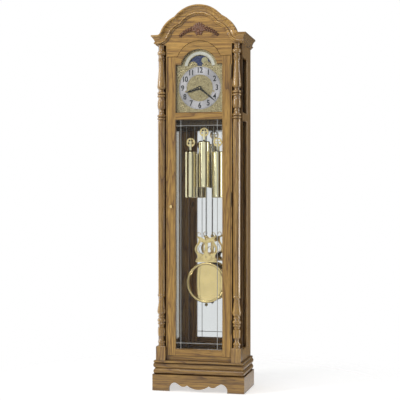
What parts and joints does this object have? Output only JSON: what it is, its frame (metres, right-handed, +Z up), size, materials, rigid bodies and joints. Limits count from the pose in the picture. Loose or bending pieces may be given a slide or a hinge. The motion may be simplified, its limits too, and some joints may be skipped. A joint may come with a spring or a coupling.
{
  "type": "grandfather clock",
  "caption": "Weight-driven floor clock in a glazed oak case with an arched door, moon dial, pendulum and weights.",
  "frame": {"origin": "middle of the overall box, on the floor", "axes": "+Z up, the door faces -Y, +X to the right seen from the front"},
  "size_m": [0.496, 0.282, 1.98],
  "materials": {
    "oak": "satin lacquer over open oak grain",
    "carving": "dark reddish-brown stained carving",
    "glides": "matte nylon",
    "glass": "clear float glass",
    "mirror": "silvered mirror",
    "polished_brass": "polished and lacquered",
    "dial_brass": "satin gilt",
    "silvered_ring": "brushed silvering with printed numerals",
    "moon_paint": "satin printed paint",
    "black_hands": "satin black",
    "movement_brass": "brushed",
    "steel": "brushed",
    "chime_steel": "dark painted iron and bronzed rods"
  },
  "bodies": {
    "case": {"back_mirror": "mirror", "back_panel": "oak", "base_apron": "oak", "base_board": "oak", "base_moulding": "oak", "cables_centre": "steel", "cables_left": "steel", "cables_right": "steel", "chapter_ring": "silvered_ring", "chime_rods": "chime_steel", "column_left": "oak", "column_right": "oak", "crown_moulding": "oak", "dial_plate": "dial_brass", "dial_spandrels": "dial_brass", "floor_glides": "glides", "front_frame": "oak", "hinge_case_leaves": "polished_brass", "moon_cover": "dial_brass", "movement_frame": "movement_brass", "pediment_board": "oak", "pediment_carving": "carving", "seat_board": "oak", "side_frame_left": "oak", "side_frame_right": "oak", "side_panes": "glass", "suspension_post": "steel", "top_board": "oak"},
    "door": {"door_frame": "oak", "door_panes": "glass", "door_came": "polished_brass", "door_escutcheon": "polished_brass", "hinge_door_leaves": "polished_brass"},
    "key": {"door_key": "polished_brass"},
    "minute_hand": {"minute_hand": "black_hands", "cannon_pinion": "movement_brass"},
    "minute_wheel": {"minute_wheel": "movement_brass"},
    "hour_hand": {"hour_hand": "black_hands", "hour_wheel": "movement_brass"},
    "moon_disc": {"moon_disc": "moon_paint"},
    "escape_wheel": {"escape_wheel": "movement_brass"},
    "third_wheel": {"third_wheel": "movement_brass"},
    "centre_wheel": {"centre_wheel": "movement_brass"},
    "great_wheel": {"great_wheel": "movement_brass"},
    "anchor": {"pallet_anchor": "steel"},
    "pendulum": {"pendulum_rod": "steel", "pendulum_lyre": "polished_brass", "pendulum_bob": "polished_brass", "suspension_spring": "steel"},
    "rating_nut": {"rating_nut": "polished_brass"},
    "hammers": {"chime_hammers": "movement_brass"},
    "drum_left": {"drum_left": "movement_brass"},
    "weight_left": {"weight_left": "polished_brass"},
    "pulley_left": {"pulley_left": "polished_brass"},
    "drum_centre": {"drum_centre": "movement_brass"},
    "weight_centre": {"weight_centre": "polished_brass"},
    "pulley_centre": {"pulley_centre": "polished_brass"},
    "drum_right": {"drum_right": "movement_brass"},
    "weight_right": {"weight_right": "polished_brass"},
    "pulley_right": {"pulley_right": "polished_brass"}
  },
  "joints": [
    {"name": "door_swing", "type": "hinge", "parent": "case", "child": "door", "pos_m": [0.1664, -0.1186, 0.95], "axis": [0, 0, 1], "range_deg": [0, 100]},
    {"name": "key_turn", "type": "hinge", "parent": "door", "child": "key", "pos_m": [-0.145, -0.115, 0.948], "axis": [0, 1, 0], "range_deg": [0, 90]},
    {"name": "minute_hand_turn", "type": "hinge", "parent": "case", "child": "minute_hand", "pos_m": [0, -0.1, 1.558], "axis": [0, 1, 0], "continuous": true},
    {"name": "minute_wheel_turn", "type": "hinge", "parent": "case", "child": "minute_wheel", "pos_m": [0.021, -0.05, 1.558], "axis": [0, 1, 0], "continuous": true},
    {"name": "hour_hand_turn", "type": "hinge", "parent": "case", "child": "hour_hand", "pos_m": [0, -0.1, 1.558], "axis": [0, 1, 0], "continuous": true},
    {"name": "moon_disc_turn", "type": "hinge", "parent": "case", "child": "moon_disc", "pos_m": [0, -0.087, 1.665], "axis": [0, 1, 0], "continuous": true},
    {"name": "escape_wheel_turn", "type": "hinge", "parent": "case", "child": "escape_wheel", "pos_m": [0, 0.005, 1.60323], "axis": [0, 1, 0], "continuous": true},
    {"name": "third_wheel_turn", "type": "hinge", "parent": "case", "child": "third_wheel", "pos_m": [-0.0165, -0.015, 1.5816], "axis": [0, 1, 0], "continuous": true},
    {"name": "centre_wheel_turn", "type": "hinge", "parent": "case", "child": "centre_wheel", "pos_m": [0, -0.035, 1.558], "axis": [0, 1, 0], "continuous": true},
    {"name": "great_wheel_turn", "type": "hinge", "parent": "case", "child": "great_wheel", "pos_m": [0, 0.023, 1.516], "axis": [0, 1, 0], "continuous": true},
    {"name": "pendulum_swing", "type": "hinge", "parent": "case", "child": "pendulum", "pos_m": [0, 0.057, 1.632], "axis": [0, 1, 0], "range_deg": [-3, 3]},
    {"name": "anchor_rock", "type": "hinge", "parent": "case", "child": "anchor", "pos_m": [0, 0.005, 1.632], "axis": [0, 1, 0], "range_deg": [-3, 3]},
    {"name": "rating_nut_turn", "type": "hinge", "parent": "pendulum", "child": "rating_nut", "pos_m": [0, 0.057, 0.43], "axis": [0, 0, 1], "continuous": true},
    {"name": "hammer_lift", "type": "hinge", "parent": "case", "child": "hammers", "pos_m": [0.06, 0.041, 1.5], "axis": [1, 0, 0], "range_deg": [0, 14]},
    {"name": "weight_left_fall", "type": "slide", "parent": "case", "child": "weight_left", "axis": [0, 0, -1], "range_m": [-0.055, 0.78], "deforming": ["cables_left"]},
    {"name": "pulley_left_turn", "type": "hinge", "parent": "weight_left", "child": "pulley_left", "pos_m": [-0.0726, 0.008, 1.284], "axis": [0, 1, 0], "range_deg": [-143, 2010]},
    {"name": "drum_left_turn", "type": "hinge", "parent": "case", "child": "drum_left", "pos_m": [-0.0726, 0, 1.5405], "axis": [0, 1, 0], "range_deg": [-285, 4019]},
    {"name": "weight_centre_fall", "type": "slide", "parent": "case", "child": "weight_centre", "axis": [0, 0, -1], "range_m": [-0.005, 0.83], "deforming": ["cables_centre"]},
    {"name": "pulley_centre_turn", "type": "hinge", "parent": "weight_centre", "child": "pulley_centre", "pos_m": [0, 0.008, 1.337], "axis": [0, 1, 0], "range_deg": [-14, 2139]},
    {"name": "drum_centre_turn", "type": "hinge", "parent": "case", "child": "drum_centre", "pos_m": [0, 0, 1.516], "axis": [0, 1, 0], "range_deg": [-27, 4276]},
    {"name": "weight_right_fall", "type": "slide", "parent": "case", "child": "weight_right", "axis": [0, 0, -1], "range_m": [-0.055, 0.78], "deforming": ["cables_right"]},
    {"name": "pulley_right_turn", "type": "hinge", "parent": "weight_right", "child": "pulley_right", "pos_m": [0.0726, 0.008, 1.284], "axis": [0, 1, 0], "range_deg": [-2010, 143]},
    {"name": "drum_right_turn", "type": "hinge", "parent": "case", "child": "drum_right", "pos_m": [0.0726, 0, 1.5405], "axis": [0, 1, 0], "range_deg": [-4019, 285]}
  ],
  "couplings": [
    {"joint": "minute_wheel_turn", "follows": "minute_hand_turn", "ratio": -0.25},
    {"joint": "hour_hand_turn", "follows": "minute_hand_turn", "ratio": 0.083333},
    {"joint": "moon_disc_turn", "follows": "minute_hand_turn", "ratio": 0.00070547},
    {"joint": "third_wheel_turn", "follows": "escape_wheel_turn", "ratio": -0.13333},
    {"joint": "centre_wheel_turn", "follows": "escape_wheel_turn", "ratio": 0.016667},
    {"joint": "great_wheel_turn", "follows": "escape_wheel_turn", "ratio": -0.0017361},
    {"joint": "anchor_rock", "follows": "pendulum_swing", "ratio": 1},
    {"joint": "pulley_left_turn", "follows": "weight_left_fall", "rad_per_m": 44.944},
    {"joint": "drum_left_turn", "follows": "weight_left_fall", "rad_per_m": 89.888},
    {"joint": "pulley_centre_turn", "follows": "weight_centre_fall", "rad_per_m": 44.944},
    {"joint": "drum_centre_turn", "follows": "weight_centre_fall", "rad_per_m": 89.888},
    {"joint": "pulley_right_turn", "follows": "weight_right_fall", "rad_per_m": -44.944},
    {"joint": "drum_right_turn", "follows": "weight_right_fall", "rad_per_m": -89.888}
  ]
}
